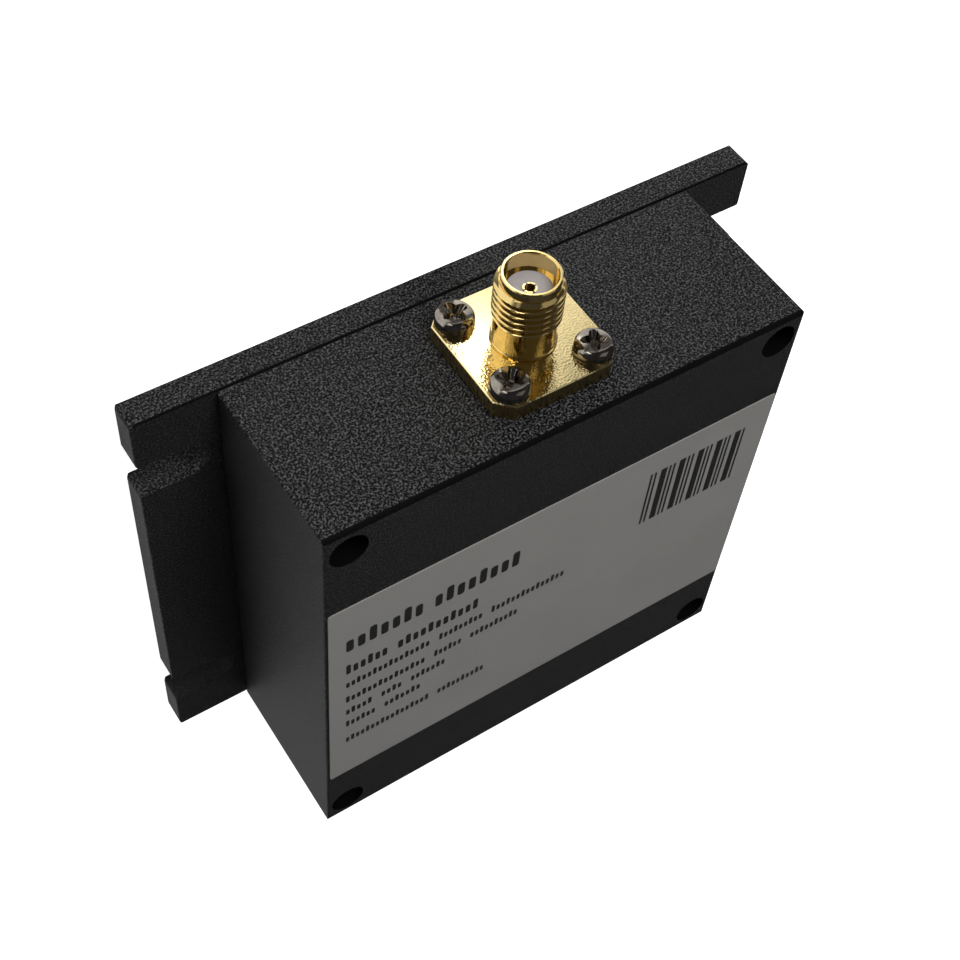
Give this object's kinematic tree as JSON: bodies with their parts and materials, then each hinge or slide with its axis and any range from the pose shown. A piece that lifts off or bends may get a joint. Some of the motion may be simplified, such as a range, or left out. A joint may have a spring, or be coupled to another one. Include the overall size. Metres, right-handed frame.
{
  "type": "rf power splitter",
  "caption": "Black box splitter with a slotted mounting plate, a gold coaxial input jack on one end and output jacks on the other.",
  "frame": {"origin": "centre of the mounting face, the back of the base plate", "axes": "+Z out of the label face, +Y towards the input jack, +X to the right of the label with the input jack up"},
  "size_m": [0.066, 0.0714, 0.0211],
  "materials": {
    "powder_coat": "fine textured black coat on aluminium",
    "gold": "bright gold plating",
    "contact": "gold plating",
    "insulator": "white, slightly translucent",
    "screw_steel": "dark bright nickel",
    "label": "matt grey film",
    "board": "bare laminate",
    "copper": "bright copper",
    "resistor": "matt"
  },
  "bodies": {
    "root": {"base_plate": "powder_coat", "housing": "powder_coat", "housing_screws": "screw_steel", "label": "label", "circuit_board": "board", "splitter_track": "copper", "board_screws": "screw_steel", "isolation_resistor_1": "resistor", "isolation_resistor_2": "resistor", "isolation_resistor_3": "resistor", "input_jack": "gold", "input_insulator": "insulator", "input_contact": "contact", "input_jack_screws": "screw_steel", "output_left_jack": "gold", "output_left_insulator": "insulator", "output_left_contact": "contact", "output_left_jack_screws": "screw_steel", "output_right_jack": "gold", "output_right_insulator": "insulator", "output_right_contact": "contact", "output_right_jack_screws": "screw_steel"}
  },
  "joints": []
}
